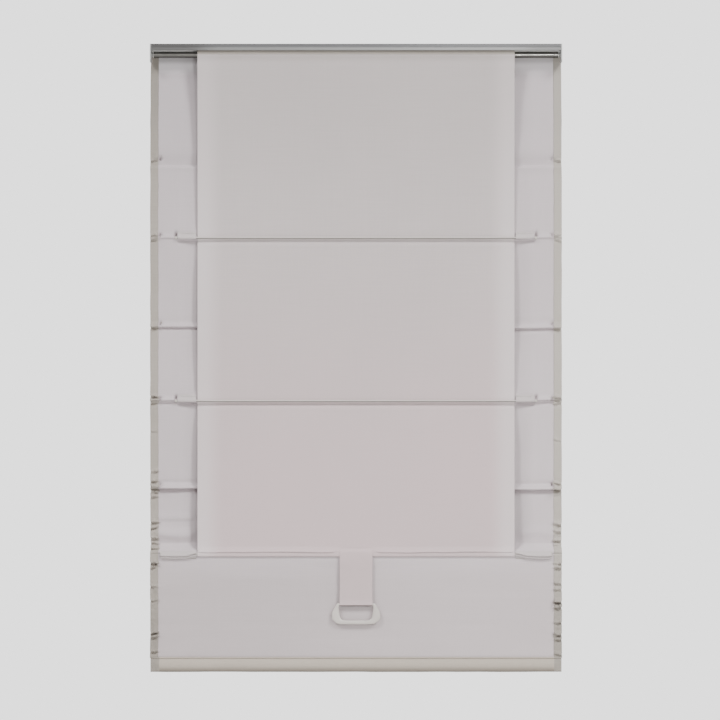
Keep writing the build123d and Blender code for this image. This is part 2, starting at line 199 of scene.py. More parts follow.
def cloth(name, dark, light, pitch=0.0008, slub=1.0, sheen=0.15, seed=0.0, big=1.0, rims=None, blush=None, painted_light_and_shade=()):
    """Plain woven cloth: warp and weft threads, thicker weft slubs, slow changes of tone, and painted light and shade
    where given.
    """
    m, nt, sh, co = tree(name, rough=0.92, sheen=sheen, specular=0.12)
    scale = 0.31416 / pitch
    warp = wave(nt, co, "X", scale, 0.6)
    weft = wave(nt, co, "Z", scale * 1.13, 0.6)
    weave = math_node(nt, "MULTIPLY", warp, weft)
    slubs = noise(nt, mapped(nt, co, (9, 9, 420), (seed, 0, seed)), 1.0, 3.0, 0.6)
    warps = noise(nt, mapped(nt, co, (380, 380, 7), (seed, 0, 0)), 1.0, 2.0, 0.5)
    slow = noise(nt, mapped(nt, co, (2.1, 2.1, 1.5), (seed, 1.3, 0)), 1.0, 3.0, 0.55)
    tone = math_node(nt, "MULTIPLY_ADD", slubs, 0.55 * slub, 0.5 - 0.275 * slub)
    tone = math_node(nt, "MULTIPLY_ADD", warps, 0.30, tone)
    tone = math_node(nt, "SUBTRACT", tone, 0.15)
    tone = math_node(nt, "MULTIPLY_ADD", slow, 0.9 * big, tone)
    tone = math_node(nt, "SUBTRACT", tone, 0.45 * big)
    tone = math_node(nt, "MULTIPLY_ADD", weave, 0.25, tone)
    tone = math_node(nt, "SUBTRACT", tone, 0.06)
    colour = mixed(nt, tone, dark, light)
    split = nt.nodes.new("ShaderNodeSeparateXYZ")
    nt.links.new(co, split.inputs[0])
    if blush is not None:
        # the dye is a little warmer towards the lower half
        low = nt.nodes.new("ShaderNodeMapRange")
        low.interpolation_type = "SMOOTHSTEP"
        low.inputs["From Min"].default_value = -0.35
        low.inputs["From Max"].default_value = -1.15
        nt.links.new(split.outputs[2], low.inputs["Value"])
        warm = math_node(nt, "MULTIPLY", low.outputs[0], math_node(nt, "MULTIPLY_ADD", slow, 0.8, 0.35))
        colour = mixed(nt, warm, colour, blush)
    if rims is not None:
        # painted light: the long edges are made paler than the middle, standing in for light at the panel's edges
        edge = nt.nodes.new("ShaderNodeMapRange")
        edge.interpolation_type = "SMOOTHSTEP"
        edge.inputs["From Min"].default_value = 0.318
        edge.inputs["From Max"].default_value = 0.372
        nt.links.new(math_node(nt, "ABSOLUTE", split.outputs[0], None), edge.inputs["Value"])
        pale = math_node(nt, "MULTIPLY", edge.outputs[0], math_node(nt, "MULTIPLY_ADD", slow, 0.5, 0.45))
        colour = mixed(nt, pale, colour, rims)
    for axis, start, stop, strength, tint, hems_only in painted_light_and_shade:
        # painted light and shade: bands made darker or lighter to stand in for shadows and light, some on the hems only
        part = nt.nodes.new("ShaderNodeMapRange")
        part.interpolation_type = "SMOOTHSTEP"
        part.inputs["From Min"].default_value = start
        part.inputs["From Max"].default_value = stop
        part.inputs["To Max"].default_value = strength
        nt.links.new(split.outputs[axis], part.inputs["Value"])
        share = math_node(nt, "MULTIPLY", part.outputs[0], math_node(nt, "MULTIPLY_ADD", slow, 0.6, 0.7))
        if hems_only:
            outer = nt.nodes.new("ShaderNodeMapRange")
            outer.interpolation_type = "SMOOTHSTEP"
            outer.inputs["From Min"].default_value = 0.470
            outer.inputs["From Max"].default_value = 0.482
            nt.links.new(math_node(nt, "ABSOLUTE", split.outputs[0], None), outer.inputs["Value"])
            share = math_node(nt, "MULTIPLY", share, outer.outputs[0])
        colour = mixed(nt, share, colour, tint)
    nt.links.new(colour, sh.inputs["Base Color"])
    height = math_node(nt, "MULTIPLY_ADD", slubs, 0.6, weave)
    bumped(nt, sh, height, 0.00012, 0.5)
    return m


def metal(name, dark, light, rough, along="X", metallic=1.0, bump=0.00002, places=(), inside=None):
    """Drawn or extruded metal: fine lines along its length, slow changes of tone, and painted shade and light where
    given.
    """
    m, nt, sh, co = tree(name, rough=rough, metallic=metallic)
    stretch = {"X": (4, 900, 900), "Z": (900, 900, 4)}[along]
    lines = noise(nt, mapped(nt, co, stretch), 1.0, 3.0, 0.6)
    slow = noise(nt, mapped(nt, co, (3, 20, 20)), 1.0, 2.0, 0.5)
    tone = math_node(nt, "MULTIPLY_ADD", lines, 0.6, math_node(nt, "MULTIPLY", slow, 0.4))
    colour = mixed(nt, tone, dark, light)
    split = nt.nodes.new("ShaderNodeSeparateXYZ")
    nt.links.new(co, split.inputs[0])
    # painted shade: each entry darkens the metal over a band of one axis
    for axis, start, stop, strength, tint in places:
        part = nt.nodes.new("ShaderNodeMapRange")
        part.interpolation_type = "SMOOTHSTEP"
        part.inputs["From Min"].default_value = start
        part.inputs["From Max"].default_value = stop
        part.inputs["To Max"].default_value = strength
        nt.links.new(split.outputs[axis], part.inputs["Value"])
        share = math_node(nt, "MULTIPLY", part.outputs[0], math_node(nt, "MULTIPLY_ADD", slow, 0.4, 0.8))
        colour = mixed(nt, share, colour, tint)
    if inside is not None:
        # painted light: the channel's inner rear wall is made matt and pale, so the shaded gap above the tube reads
        # lighter
        share = None
        for axis, start, stop in ((1, 0.010, 0.014), (2, -0.0018, -0.0024)):
            part = nt.nodes.new("ShaderNodeMapRange")
            part.inputs["From Min"].default_value = start
            part.inputs["From Max"].default_value = stop
            nt.links.new(split.outputs[axis], part.inputs["Value"])
            share = part.outputs[0] if share is None else math_node(nt, "MULTIPLY", share, part.outputs[0])
        colour = mixed(nt, share, colour, inside)
        nt.links.new(math_node(nt, "MULTIPLY_ADD", share, -metallic, metallic), sh.inputs["Metallic"])
    nt.links.new(colour, sh.inputs["Base Color"])
    nt.links.new(math_node(nt, "MULTIPLY_ADD", lines, 0.14, rough - 0.07), sh.inputs["Roughness"])
    bumped(nt, sh, lines, bump, 0.4)
    return m


def plastic(name, dark, light, rough, grain=2500.0, bump=0.00004, under=None):
    """Moulded plastic: a fine grain and slightly uneven gloss, and painted shade from a height downwards."""
    m, nt, sh, co = tree(name, rough=rough, specular=0.4)
    grains = noise(nt, co, grain, 2.0, 0.5)
    slow = noise(nt, co, 30.0, 2.0, 0.5)
    tone = math_node(nt, "MULTIPLY_ADD", slow, 0.8, math_node(nt, "MULTIPLY", grains, 0.2))
    colour = mixed(nt, tone, dark, light)
    # painted shade: darker from the height under downwards
    if under is not None:
        split = nt.nodes.new("ShaderNodeSeparateXYZ")
        nt.links.new(co, split.inputs[0])
        part = nt.nodes.new("ShaderNodeMapRange")
        part.interpolation_type = "SMOOTHSTEP"
        part.inputs["From Min"].default_value = under + 0.0004
        part.inputs["From Max"].default_value = under - 0.0018
        nt.links.new(split.outputs[2], part.inputs["Value"])
        share = math_node(nt, "MULTIPLY", part.outputs[0], math_node(nt, "MULTIPLY_ADD", slow, 0.3, 0.78))
        colour = mixed(nt, share, colour, srgb(98, 96, 88))
    nt.links.new(colour, sh.inputs["Base Color"])
    nt.links.new(math_node(nt, "MULTIPLY_ADD", slow, 0.16, rough - 0.08), sh.inputs["Roughness"])
    bumped(nt, sh, grains, bump, 0.3)
    return m


def thread(name, dark, light):
    m, nt, sh, co = tree(name, rough=0.7, sheen=0.2, specular=0.2)
    twist = wave(nt, mapped(nt, co, (1, 1, 1)), "DIAGONAL", 900.0, 0.0)
    nt.links.new(mixed(nt, twist, dark, light), sh.inputs["Base Color"])
    bumped(nt, sh, twist, 0.00004, 0.5)
    return m


M_CLOTH = cloth(
    "cloth_reverse", srgb(185, 175, 177), srgb(201, 191, 194),
    painted_light_and_shade=(
        # painted shade: darker towards the top, for the shade under the head
        (2, -0.50, -0.05, 0.28, srgb(164, 158, 163), False),
        # painted light: paler just below the rail, to lighten the rail's shadow there
        (2, -0.079, -0.050, 0.85, srgb(242, 237, 239), False),
        # painted shadow: darker just below the tube, for the tube's cast shadow
        (2, -0.050, -0.036, 0.58, srgb(112, 109, 108), False),
        # painted shade: darker on the skirt just below the batten's hem
        (2, -1.24, -1.32, 0.30, srgb(164, 153, 149), False),
        # painted light: lighter towards the right side
        (0, -0.30, 0.45, 0.22, srgb(216, 206, 208), False),
    ),
)
M_PANEL = cloth(
    "panel_cloth", srgb(182, 173, 172), srgb(200, 191, 190), seed=3.1,
    # painted light: the panel's long edges are paler than its middle
    rims=srgb(214, 204, 204), blush=srgb(200, 179, 181),
    painted_light_and_shade=(
        # painted shade: darker towards the top
        (2, -0.50, -0.05, 0.26, srgb(160, 154, 151), False),
        # painted shade: darker round the hem at the batten
        (2, -1.22, -1.27, 0.25, srgb(168, 156, 154), False),
        # painted shadow: darker on the roll's top, under the rail
        (2, -0.052, -0.014, 0.45, srgb(140, 134, 130), False),
        # painted shadow: a dark line along the strap's fold below the handle's top bar
        (2, -1.3602, -1.3626, 0.85, srgb(84, 79, 76), False),
    ),
)
M_FACE = cloth(
    "cloth_face", srgb(150, 143, 135), srgb(176, 168, 159), sheen=0.1, seed=5.7,
    painted_light_and_shade=(
        # painted shade: the hems darker towards the top
        (2, -0.42, -0.10, 0.55, srgb(120, 116, 109), True),
        # painted light: lighter towards the right side
        (0, 0.30, 0.47, 0.45, srgb(190, 184, 176), False),
        # painted shade: the hems darker towards the bottom
        (2, -1.18, -1.45, 0.6, srgb(126, 120, 112), True),
    ),
)
M_BASE = cloth(
    "pocket_cloth", srgb(163, 154, 143), srgb(181, 171, 159), seed=7.2,
    # painted shade: the pocket's lower edge darker, where it curves under
    painted_light_and_shade=((2, -1.5065, -1.5235, 0.7, srgb(100, 93, 84), False),),
)
M_SEWN = cloth("pocket_strip", srgb(180, 172, 171), srgb(198, 190, 189), seed=9.4)
M_RAIL = metal(
    "rail_aluminium", srgb(142, 142, 142), srgb(168, 168, 167), 0.34, metallic=0.7, inside=srgb(226, 225, 222),
    # painted shade: the front face darker at its top, at both ends and along its lower edge
    places=((2, -0.0110, -0.0060, 0.95, srgb(102, 102, 103)), (0, -0.33, -0.41, 0.95, srgb(92, 91, 90)), (0, 0.38, 0.45, 0.55, srgb(98, 98, 98)), (2, -0.0078, -0.0105, 0.5, srgb(112, 112, 111))),
)
M_BAR = metal("bar_aluminium", srgb(170, 170, 168), srgb(200, 200, 198), 0.35)
M_STEEL = metal(
    "tube_steel", srgb(113, 111, 107), srgb(139, 137, 132), 0.17, metallic=0.62,
    # painted shade: the tube darker along its underside
    places=((2, -0.0274, -0.0296, 0.8, srgb(50, 49, 48)),),
)
M_SPRING = metal("spring_steel", srgb(120, 118, 116), srgb(150, 148, 146), 0.3)
M_ZINC = metal("screw_zinc", srgb(150, 152, 155), srgb(190, 192, 195), 0.3)
M_BRACKET = metal("bracket_paint", srgb(150, 150, 148), srgb(172, 172, 170), 0.45, metallic=0.25)
M_PLUG = plastic("moulded_white", srgb(205, 204, 200), srgb(222, 221, 217), 0.4)
M_CAP = plastic("cap_cream", srgb(186, 181, 173), srgb(202, 197, 189), 0.45)
M_ROD = plastic("rod_white", srgb(184, 177, 173), srgb(200, 193, 189), 0.5)
# painted shade on the rods' undersides, from their middle height down
M_ROD_A = plastic("rod_a_white", srgb(184, 177, 173), srgb(200, 193, 189), 0.5, under=ROD_A * MM)
M_ROD_B = plastic("rod_b_white", srgb(184, 177, 173), srgb(200, 193, 189), 0.5, under=ROD_B * MM)
M_HANDLE = plastic("handle_cream", srgb(188, 181, 175), srgb(204, 198, 191), 0.28)
M_TAPE = cloth("tape_woven", srgb(200, 198, 192), srgb(222, 220, 214), pitch=0.0012, seed=2.2)
M_THREAD = thread("sewing_thread", srgb(176, 170, 164), srgb(200, 195, 190))

for name, mat in {
    "head_rail": M_RAIL,
    "left_end_bracket": M_BRACKET,
    "right_end_bracket": M_BRACKET,
    "bracket_screws": M_ZINC,
    "motor_spindle": M_STEEL,
    "spring_collar": M_PLUG,
    "roller_tube": M_STEEL,
    "idle_plug": M_PLUG,
    "idle_pin": M_STEEL,
    "tube_bearing": M_PLUG,
    "spring_anchor": M_PLUG,
    "torsion_spring": M_SPRING,
    "rod_a": M_ROD_A,
    "rod_b": M_ROD_B,
    "rod_a_caps": M_CAP,
    "rod_b_caps": M_CAP,
    "lower_batten": M_ROD,
    "batten_caps": M_CAP,
    "pull_handle": M_HANDLE,
    "bottom_bar": M_BAR,
    "bottom_bar_cap_left": M_CAP,
    "bottom_bar_cap_right": M_CAP,
}.items():
    o = NODES[name]
    if not o.material_slots:
        o.data.materials.append(mat)
    for s in o.material_slots:
        s.material = mat


# ---- meshes --------------------------------------------------------------
def new_object(name, verts, faces, mats, index=None, smooth=True):
    me = bpy.data.meshes.new(name)
    me.from_pydata([tuple(v) for v in np.asarray(verts) * MM], [], faces)
    for m in mats:
        me.materials.append(m)
    if index is not None:
        me.polygons.foreach_set("material_index", np.asarray(index, np.int32))
    me.polygons.foreach_set("use_smooth", np.full(len(me.polygons), smooth))
    me.validate()
    me.update()
    o = bpy.data.objects.new(name, me)
    bpy.context.scene.collection.objects.link(o)
    return o


def thin(name, P, mats, plus=0, minus=1, edge=None, t=CLOTH, closed_rows=False, paint=None):
    """A closed cloth of thickness t round the surface P[rows, cols], with material `plus` on the side that
    the grid's normal points to and `minus` on the other."""
    P = np.asarray(P, float)
    nr, nc = P.shape[:2]
    if closed_rows:
        du = (np.roll(P, -1, 0) - np.roll(P, 1, 0))
    else:
        du = np.gradient(P, axis=0)
    dv = np.gradient(P, axis=1)
    N = np.cross(dv, du)
    N /= np.maximum(np.linalg.norm(N, axis=2, keepdims=True), 1e-12)
    T = t if np.ndim(t) == 0 else np.asarray(t)[..., None]
    A, B = P + N * T / 2, P - N * T / 2
    verts = np.concatenate([A.reshape(-1, 3), B.reshape(-1, 3)])
    n = nr * nc
    idx = np.arange(n).reshape(nr, nc)
    rows = np.arange(nr if closed_rows else nr - 1)
    r0, r1 = rows, (rows + 1) % nr
    a, b = idx[r0][:, :-1], idx[r0][:, 1:]
    c, d = idx[r1][:, 1:], idx[r1][:, :-1]
    quads = np.stack([a, b, c, d], -1).reshape(-1, 4)
    faces, index = [], []
    edge = plus if edge is None else edge
    top, low = quads, quads[:, ::-1] + n
    faces += top.tolist() + low.tolist()
    index += [plus] * len(top) + [minus] * len(low)
    if paint is not None:
        both = paint(P)
        f = both[r0][:, :-1].reshape(-1)
        index = [int(k) if k >= 0 else j for k, j in zip(np.concatenate([f, f]), index)]
    sides = []
    for k in rows:
        k1 = (k + 1) % nr
        sides.append([idx[k1, 0], idx[k1, 0] + n, idx[k, 0] + n, idx[k, 0]])
        sides.append([idx[k, -1], idx[k, -1] + n, idx[k1, -1] + n, idx[k1, -1]])
    if not closed_rows:
        for k in range(nc - 1):
            sides.append([idx[0, k], idx[0, k] + n, idx[0, k + 1] + n, idx[0, k + 1]])
            sides.append([idx[-1, k + 1], idx[-1, k + 1] + n, idx[-1, k] + n, idx[-1, k]])
    faces += [[int(v) for v in s] for s in sides]
    index += [edge] * len(sides)
    # the grid may run either way round, so the faces are turned to point out of the cloth
    q = np.array(top[len(top) // 2])
    fn = np.cross(verts[q[1]] - verts[q[0]], verts[q[2]] - verts[q[1]])
    if np.dot(fn, N.reshape(-1, 3)[q[0]]) < 0:
        faces = [f[::-1] for f in faces]
    o = new_object(name, verts, faces, mats, index)
    return o


def stitches(name, ends, out, radius=0.24, lift=0.3):
    """Short threads from one point to the next, each bowed out of the cloth."""
    verts, faces = [], []
    out = np.asarray(out, float)
    for p, q in ends:
        p, q = np.asarray(p, float), np.asarray(q, float)
        along = (q - p) / np.linalg.norm(q - p)
        side = np.cross(along, out)
        side /= np.linalg.norm(side)
        up = np.cross(side, along)
        base = len(verts)
        for s, r in ((0.0, 0.45), (0.2, 0.95), (0.5, 1.0), (0.8, 0.95), (1.0, 0.45)):
            c = p + (q - p) * s + out * (lift * math.sin(math.pi * s) - 0.1)
            for k in range(5):
                a = 2 * math.pi * k / 5
                verts.append(c + (side * math.cos(a) + up * math.sin(a)) * radius * r)
        for i in range(4):
            for k in range(5):
                k1 = (k + 1) % 5
                faces.append([base + i * 5 + k, base + i * 5 + k1, base + (i + 1) * 5 + k1, base + (i + 1) * 5 + k])
        faces.append([base + k for k in range(4, -1, -1)])
        faces.append([base + 20 + k for k in range(5)])
    # side x up is -along, so the rings run the other way round
    faces = [f[::-1] for f in faces]
    return new_object(name, verts, faces, [M_THREAD])


# ---- the full-width cloth's form ------------------------------------------
# sharp puckers of the side hems: line of the reference view, how far it stands out
PUCKERS_LEFT = [
    (160, 1.2), (235, 2.0), (239, 1.4), (327, 1.8), (396, 2.6), (402, 2.0), (431, 0.8),
    (471, 2.0), (481, 1.8), (486, 3.0), (491, 2.8), (496, 2.0), (522, 3.0), (527, 1.8), (538, 2.2),
    (543, 3.0), (548, 2.0), (562, 4.4), (566, 2.4), (586, 2.0), (600, 2.2), (632, 3.6),
    (636, 2.4), (651, 1.8), (657, 1.6),
]
PUCKERS_RIGHT = [
    (160, 1.4), (235, 1.8), (240, 1.2), (328, 1.6), (397, 2.8), (403, 1.8), (440, 1.0),
    (483, 2.0), (489, 2.8), (494, 1.6), (524, 2.6), (531, 2.0), (541, 2.6), (545, 1.8), (563, 2.6),
    (567, 2.0), (583, 2.0), (589, 2.6), (601, 4.2), (607, 3.4), (622, 2.0), (634, 3.0), (639, 2.6), (654, 1.2),
]
MID_1, MID_2, MID_3 = at(161.5), at(327.4), at(488.9)


def pinned(z):
    """1 at a rod, 0 half-way between two."""
    z = np.asarray(z, float)
    g = np.exp(-(((z - ROD_A) / 17) ** 2)) + np.exp(-(((z - ROD_B) / 17) ** 2)) + np.exp(-(((z - BAT_Z) / 17) ** 2))
    return np.clip(g, 0, 1)


def span(z, top, low, fold):
    """0 at both ends of a stretch of cloth and 1 at its fold, nearly straight in between."""
    z = np.asarray(z, float)
    up = np.clip((top - z) / (top - fold), 0, 1)
    down = np.clip((z - low) / (fold - low), 0, 1)
    t = np.where(z > fold, up, down)
    inside = (z < top) & (z > low)
    return np.where(inside, 1 - (1 - t) ** 1.7, 0)


def nick(ax, z, x0, z0, wide, up, down):
    """A small hollow at the distance x0 from the middle."""
    return np.exp(-(((ax - x0) / wide) ** 2)) * ridge(z, z0, up, down)


def main_y(x, z):
    """How far the full-width cloth's middle layer lies at (x, z)."""
    x, z = np.broadcast_arrays(np.asarray(x, float), np.asarray(z, float))
    ax = np.abs(x)
    t = np.clip((FOLD_Z - z) / (FOLD_Z - ROD_A), 0, 1)
    y = 26.5 + (-13.2 - 26.5) * t
    free = 1 - pinned(z)
    top_free = S(-z, 25, 70)
    # the cloth hangs back between rods, deepest at its fold
    y = y - 10.0 * span(z, FOLD_Z, ROD_A, -170) * top_free
    y = y + 9.5 * span(z, ROD_A, ROD_B, MID_2)
    fall = 9.5 + 9.0 * np.clip((MID_3 - z) / (MID_3 - BAT_Z - 33), 0, 1)
    y = y + np.where(z > MID_3, 9.5 * span(z, ROD_B, BAT_Z, MID_3), fall * S(z, BAT_Z + 3, BAT_Z + 26))
    # it dips behind the lifting panel
    inner = 1 - S(ax, 386, 432)
    above = S(z, BAT_Z - 4, BAT_Z + 14)
    deep = 3.5 + 3.5 * S(-z, 260, 520) + 4.0 * S(-z, 880, 980)
    y = y + inner * above * (1.4 + deep * free) * top_free
    y = y + inner * (4.0 * ridge(z, ROD_A - 6, 3.5, 10) + 5.2 * ridge(z, ROD_B - 6, 3.5, 11))
    # the pleat at each fold: a lip that faces up, with a sharp lower edge
    wob = noise1(x / 60.0, 11) * 0.7
    sag = wob - 3.2 * S(x, 0, 380)
    y = y + 6.6 * ridge(z, at(164.6) + wob, 22, 3.4) - 1.6 * ridge(z, at(167.2) + wob, 2.4, 9)
    y = y - 5.6 * ridge(z, MID_2 + 2.4 + sag, 6, 1.0) + 5.6 * ridge(z, MID_2 - 0.8 + sag, 1.0, 3.4)
    y = y + 1.2 * ridge(z, MID_2 + 14 + sag, 9, 4)
    y = y - 9.4 * ridge(z, MID_3 + 2.4 + sag, 7, 1.0) + 9.0 * ridge(z, MID_3 - 1.0 + sag, 1.0, 6)
    y = y + 2.4 * ridge(z, MID_3 + 14 + sag, 8, 4)
    # the creases that run on from the rods' pockets to the hems
    under = S(ax, 384, 392) * (1 - S(ax, 428, 436))
    y = y + under * (4.4 * ridge(z, ROD_A - 4.6, 1.6, 6) + 8.0 * ridge(z, ROD_B - 4.6, 1.6, 7))
    outer = S(ax, 428, 440)
    y = y - outer * (3.2 * ridge(z, ROD_A + 1.0 + wob, 8, 2.2) + 6.6 * ridge(z, ROD_B + 2.2 + 2 * wob, 6, 1.2))
    y = y + outer * 4.6 * ridge(z, ROD_B - 2.0 + 2 * wob, 1.6, 6)
    # the cloth is pinched in at the pockets' mouths and beside the hems, where the folds begin
    for rod in (ROD_A, ROD_B):
        y = y + 14.0 * nick(ax, z, 437.0, rod + 5.5, 2.8, 7.0, 4.0)
    for px, deep_left, deep_right in ((159.0, 13.0, 6.0), (235.5, 14.0, 11.0), (324.5, 14.0, 9.0), (399.0, 16.0, 16.0), (485.5, 13.0, 16.0)):
        y = y + np.where(x < 0, deep_left, deep_right) * nick(ax, z, 476.5, at(px), 2.8, 5.0, 3.5)
    left = S(-x, 380, 400)
    y = y - 1.1 * left * ridge(z, MID_3 + 12 + wob, 4, 1.6)
    y = y - 0.9 * (1 - left) * ridge(z, MID_3 + 8 + wob, 3, 1.6)
    # loose swags low on the left strip, and a fainter one on the right
    y = y - 6.4 * left * S(ax, 384, 410) * ridge(z, at(535) + 3 * noise1(x / 40, 5), 15, 12)
    y = y - 2.6 * left * S(ax, 384, 405) * ridge(z, at(518), 12, 6)
    y = y - 1.8 * S(x, 384, 405) * ridge(z, at(533) + 3 * noise1(x / 40, 6), 14, 9)
    # slow unevenness
    soft = S(-z, 60, 160) * (1 - pinned(z))
    low = 1 - S(z, POCKET_Z + 15, POCKET_Z + 60)
    y = y + (noise2(x / 55.0, z / 70.0, 21) * 0.8 + noise2(x / 140.0, z / 45.0, 22) * 0.6) * soft * (1 - 0.8 * low)
    # the skirt hangs a little further back behind the tab and the handle
    y = y + 4.8 * np.exp(-((x / 95.0) ** 2)) * S(-z, -BAT_Z + 10, -BAT_Z + 45) * S(z, BAR_Z - 120, BAR_Z - 60)
    # the skirt's slight horizontal waves
    skirt = S(-z, -BAT_Z + 14, -BAT_Z + 40) * (1 - low)
    y = y + skirt * (0.5 * noise2(x / 260.0, z / 16.0, 31) + 0.35 * noise2(x / 90.0, z / 26.0, 32))
    return y + hem_pucker(x, z)


def hem_pucker(x, z):
    x, z = np.broadcast_arrays(np.asarray(x, float), np.asarray(z, float))
    y = np.zeros(x.shape)
    for side, list_, seed in ((-1, PUCKERS_LEFT, 41), (1, PUCKERS_RIGHT, 43)):
        w = S(x * side, 477, 489)
        tail = S(x * side, 455, 489)
        for k, (px, amp) in enumerate(list_):
            r = np.random.default_rng(seed * 100 + k).uniform(-1, 1, 3)
            z0 = at(px) + r[0] * 0.3 * (np.abs(x) - 490) + 1.3 * noise1(x / 5 + 5 * k, seed)
            a = 2.7 * amp * (0.75 + 0.6 * noise1(x / 6 + 3 * k, seed + 1))
            y = y - w * a * ridge(z, z0, 4.4 + 1.4 * r[1], 1.5 + 0.4 * r[2])
            y = y + w * a * 0.8 * ridge(z, z0 - 4.2, 1.5, 3.6 + 0.9 * r[2])
            y = y - tail * 0.2 * amp * ridge(z, z0, 5, 4)
        rough = S(-z, -at(470), -at(486)) * 0.55 + 0.45 * S(-z, -at(515), -at(524))
        y = y + w * rough * (1.5 * noise2(x / 7.0, z / 8.5, seed + 2) + 0.8 * noise2(x / 4.0, z / 4.5, seed + 3))
    return y * (1 - (1 - S(z, POCKET_Z + 14, POCKET_Z + 24)))


def hem_lift(x, z):
    """How far the hem's free edge stands off the cloth behind it."""
    x, z = np.broadcast_arrays(np.asarray(x, float), np.asarray(z, float))
    inner = 1 - S(np.abs(x), 482, 494)
    g = 0.35 + 0.25 * noise1(z / 18.0 + np.sign(x) * 7, 51)
    for px, amp in ((157, 1.6), (235.5, 2.6), (325, 2.2), (397, 3.2), (486, 3.0), (523, 1.2), (545, 1.6), (600, 1.0), (634, 1.4)):
        g = g + 2.1 * amp * np.exp(-(((z - at(px)) / 5.0) ** 2))
    fade = S(-z, 26, 40) * S(z, POCKET_Z + 18, POCKET_Z + 30)
    return g * inner * fade


def edge_in(x, z):
    """How far the outer edge is drawn in, in mm: by puckers and by slow waves."""
    x, z = np.broadcast_arrays(np.asarray(x, float), np.asarray(z, float))
    e = np.zeros(x.shape)
    for side, list_ in ((-1, PUCKERS_LEFT), (1, PUCKERS_RIGHT)):
        on = (x * side > 0)
        for px, amp in list_:
            e = e + on * 0.42 * amp * np.exp(-(((z - at(px) + 1.5) / 3.4) ** 2))
    e = e + 0.5 + 0.5 * noise1(z / 37.0 + np.sign(x) * 13, 61)
    return e * S(-z, 30, 60) * S(z, POCKET_Z + 16, POCKET_Z + 28)


def tongue(x, z):
    """How far the hem's free edge runs in past its line where a pucker pulls at it."""
    x, z = np.broadcast_arrays(np.asarray(x, float), np.asarray(z, float))
    t = 0.35 * noise1(z / 9.0 + np.sign(x) * 3, 66)
    for px, out, side in (
        (398.5, 4.2, -1), (402, 3.0, -1), (486, 4.6, -1), (491, 3.0, -1), (523, 1.6, -1), (549, 3.0, -1), (563, 2.2, -1), (634, 2.0, -1),
        (398, 3.6, 1), (404, 3.0, 1), (484, 3.4, 1), (490, 4.4, 1), (527, 1.6, 1), (541, 2.4, 1), (564, 2.0, 1), (603, 2.6, 1), (637, 2.0, 1),
    ):
        t = t + np.where(x * side > 0, out, 0) * ridge(z, at(px), 4.5, 1.6)
    return t * S(-z, 60, 90) * S(z, POCKET_Z + 20, POCKET_Z + 40)


half_stations = [
    499.65, 497.3, 494.8, 492.2, 489.6, 487, 484.4, 481.8, 479, 475.5, 471, 465, 458, 451, 446, 442.5, 440, 437.5, 435, 432.5, 429,
    425, 419, 413, 407, 401, 396, 392, 389, 386.5, 383, 376, 362, 340, 310, 280, 240, 200, 160, 120, 80, 40,
]
hem_stations = np.linspace(480.5, 499.65, 10)
columns = []  # (x, distance of the layer in front of the middle layer, share of the hem's lift)
for v in hem_stations:
    columns.append((-v, 0.7, 1.0))
for a in (36, 72, 108, 144):
    columns.append((-499.65 - 0.35 * math.sin(math.radians(a)), 0.35 + 0.35 * math.cos(math.radians(a)), 0.0))
for v in half_stations:
    columns.append((-v, 0.0, 0.0))
columns.append((0.0, 0.0, 0.0))
for v in reversed(half_stations):
    columns.append((v, 0.0, 0.0))
for a in (144, 108, 72, 36):
    columns.append((499.65 + 0.35 * math.sin(math.radians(a)), 0.35 + 0.35 * math.cos(math.radians(a)), 0.0))
for v in reversed(hem_stations):
    columns.append((v, 0.7, 1.0))
COL = np.array(columns)


def rows_between(z_top, z_low, sharp, step=5.5, fine=0.85, reach=7.0):
    """Heights from z_top down to z_low, closer together round the sharp places."""
    z = list(np.linspace(z_top, z_low, max(2, int(round((z_top - z_low) / step)) + 1)))
    for s in sharp:
        for d in np.arange(-reach, reach + 1e-6, fine):
            if z_low + 0.4 < s + d < z_top - 0.4:
                z.append(s + d)
    z = sorted(z, reverse=True)
    out = [z[0]]
    for v in z[1:]:
        if out[-1] - v >= 0.8:
            out.append(v)
    if out[-1] - z_low > 1e-6:
        if out[-1] - z_low < 0.4:
            out[-1] = z_low
        else:
            out.append(z_low)
    out[-1] = z_low
    return np.array(out)


ALL_SHARP = [at(p) for p, _ in PUCKERS_LEFT + PUCKERS_RIGHT] + [at(166), MID_2, MID_3, MID_3 + 10, ROD_B]


def main_grid(z):
    z = np.asarray(z, float)[:, None]
    x = COL[None, :, 0]
    y = main_y(x, z) - COL[None, :, 1] - COL[None, :, 2] * hem_lift(x, z)
    x2 = x - np.sign(x) * edge_in(x, z) * S(np.abs(x), 470, 490)
    x2 = x2 - np.sign(x) * COL[None, :, 2] * (1 - S(np.abs(x), 480, 491)) * tongue(x, z)
    P = np.zeros((z.shape[0], x.shape[1], 3))
    P[..., 0] = x2
    P[..., 1] = y
    P[..., 2] = z
    return P


def main_section(name, z_top, z_low, body, keep):
    z = rows_between(z_top, z_low, [s for s in ALL_SHARP if z_low < s < z_top])
    o = thin(name, main_grid(z), [M_FACE, M_CLOTH], plus=0, minus=1, edge=0)
    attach(o, body)
    if keep is not None:
        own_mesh(o)
    return o


LIFT = [j for j in frame["joints"] if j["name"] == "lift_slide"][0]
UP = 1090.0
UP_A = 0.3577 * UP
UP_B = 0.6916 * UP
keep_1 = (FOLD_Z - (ROD_A + UP_A)) / (FOLD_Z - ROD_A)
keep_2 = ((ROD_A + UP_A) - (ROD_B + UP_B)) / (ROD_A - ROD_B)
keep_3 = ((ROD_B + UP_B) - (BAT_Z + UP)) / (ROD_B - BAT_Z)

